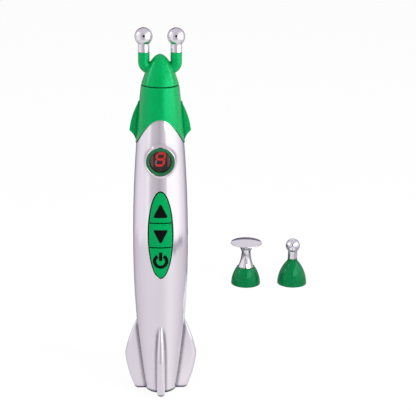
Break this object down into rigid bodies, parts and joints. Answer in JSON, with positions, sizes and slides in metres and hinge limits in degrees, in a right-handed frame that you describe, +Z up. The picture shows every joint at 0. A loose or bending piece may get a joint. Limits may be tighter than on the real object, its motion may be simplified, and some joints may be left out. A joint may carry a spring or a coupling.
{
  "type": "electronic massage pen",
  "caption": "Rocket-shaped handheld pulse massage pen with a twin-ball head, round digit window, button column and two spare heads standing beside it.",
  "frame": {"origin": "centre of the pen's tail, on its axis, where it stands on its flat end", "axes": "+Z up the pen's axis to the electrodes, -Y out of the window and the buttons, +X to the right of the front"},
  "size_m": [0.1223, 0.1938, 0.205],
  "materials": {
    "plated_case": "bright plating over moulded plastic",
    "green_plastic": "polished moulding",
    "dark_green_plastic": "polished moulding",
    "chrome_electrode": "mirror plated",
    "smoked_window": "smoked, clear",
    "red_light": "lit bars",
    "grey_light": "unlit bar",
    "black_ink": "satin",
    "black_plastic": "satin",
    "red_plastic": "satin",
    "yellow_plastic": "satin",
    "board_green": "solder mask",
    "ferrite": "sintered and taped",
    "blue_sleeve": "shrunk sleeve",
    "cell_jacket": "plain printed jacket",
    "nickel": "nickel plated",
    "brass": "bright"
  },
  "bodies": {
    "pen": {"front_shell": "plated_case", "rear_shell": "plated_case", "nose_collar": "green_plastic", "head_seat": "black_plastic", "contact_stud": "brass", "window_ring": "dark_green_plastic", "window_lens": "smoked_window", "display_module": "black_plastic", "lit_segments": "red_light", "dim_segment": "grey_light", "circuit_board": "board_green", "up_switch": "black_plastic", "down_switch": "black_plastic", "power_switch": "black_plastic", "microcontroller": "black_plastic", "step_up_transformer": "ferrite", "storage_capacitor": "blue_sleeve", "chip_resistors": "black_plastic", "buzzer": "black_plastic", "battery_cell": "cell_jacket", "battery_cradle": "black_plastic", "battery_spring": "nickel", "battery_plate": "brass", "case_screws": "nickel", "board_screws": "nickel", "positive_wire": "red_plastic", "negative_wire": "black_ink", "electrode_lead": "yellow_plastic", "return_contact": "brass"},
    "up_key": {"up_button": "green_plastic", "up_mark": "black_ink", "up_plunger": "red_plastic"},
    "down_key": {"down_button": "green_plastic", "down_mark": "black_ink", "down_plunger": "red_plastic"},
    "power_key": {"power_button": "green_plastic", "power_mark": "black_ink", "power_plunger": "red_plastic"},
    "door": {"battery_door": "plated_case"},
    "twin": {"twin_head": "green_plastic", "twin_left_electrode": "chrome_electrode", "twin_right_electrode": "chrome_electrode", "twin_bridge": "brass"},
    "spare_disc": {"disc_head_base": "green_plastic", "disc_electrode": "chrome_electrode", "disc_head_sleeve": "brass"},
    "spare_ball": {"ball_head_base": "green_plastic", "ball_electrode": "chrome_electrode", "ball_head_sleeve": "brass"}
  },
  "joints": [
    {"name": "up_press", "type": "slide", "parent": "pen", "child": "up_key", "axis": [0, 1, 0], "range_m": [0, 0.0005], "stiffness_N_per_m": 2500, "springref_m": -0.0002},
    {"name": "down_press", "type": "slide", "parent": "pen", "child": "down_key", "axis": [0, 1, 0], "range_m": [0, 0.0005], "stiffness_N_per_m": 2500, "springref_m": -0.0002},
    {"name": "power_press", "type": "slide", "parent": "pen", "child": "power_key", "axis": [0, 1, 0], "range_m": [0, 0.0005], "stiffness_N_per_m": 2500, "springref_m": -0.0002},
    {"name": "battery_door_swing", "type": "hinge", "parent": "pen", "child": "door", "pos_m": [0, 0.01348, 0.04425], "axis": [-1, 0, 0], "range_deg": [0, 50]},
    {"name": "twin_head_pull", "type": "slide", "parent": "pen", "child": "twin", "axis": [0, 0, 1], "range_m": [0, 0.016]},
    {"name": "disc_head_lift", "type": "slide", "parent": "pen", "child": "spare_disc", "axis": [0, 0, 1], "range_m": [0, 0.04]},
    {"name": "ball_head_lift", "type": "slide", "parent": "pen", "child": "spare_ball", "axis": [0, 0, 1], "range_m": [0, 0.04]}
  ]
}
